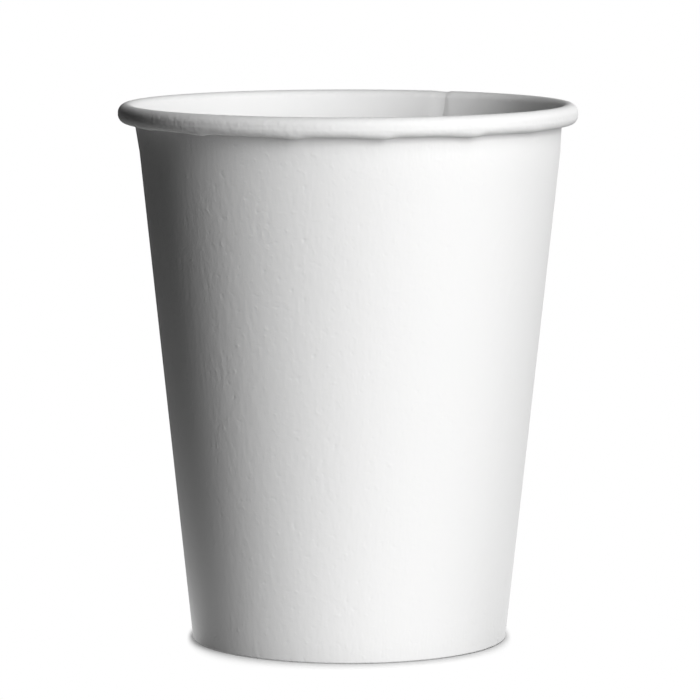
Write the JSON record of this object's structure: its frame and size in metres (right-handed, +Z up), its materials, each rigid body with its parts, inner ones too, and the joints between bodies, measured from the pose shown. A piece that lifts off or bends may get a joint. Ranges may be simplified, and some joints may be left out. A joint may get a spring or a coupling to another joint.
{
  "type": "paper coffee cup",
  "caption": "Tapered single-wall paper cup for hot drinks, with a rolled rim, a lapped side seam and a recessed bottom disc held in a folded foot.",
  "frame": {"origin": "on the cup's axis, in the plane that the foot stands on", "axes": "+Z up the axis to the rim; the lapped seam is at the back right, about 55 degrees round from +X towards +Y"},
  "size_m": [0.08, 0.08, 0.094],
  "materials": {
    "wall_board": "matte white board outside, faint satin film inside",
    "bottom_board": "white board with a faint satin film on top"
  },
  "bodies": {
    "root": {"side_wall": "wall_board", "bottom_disc": "bottom_board"}
  },
  "joints": []
}
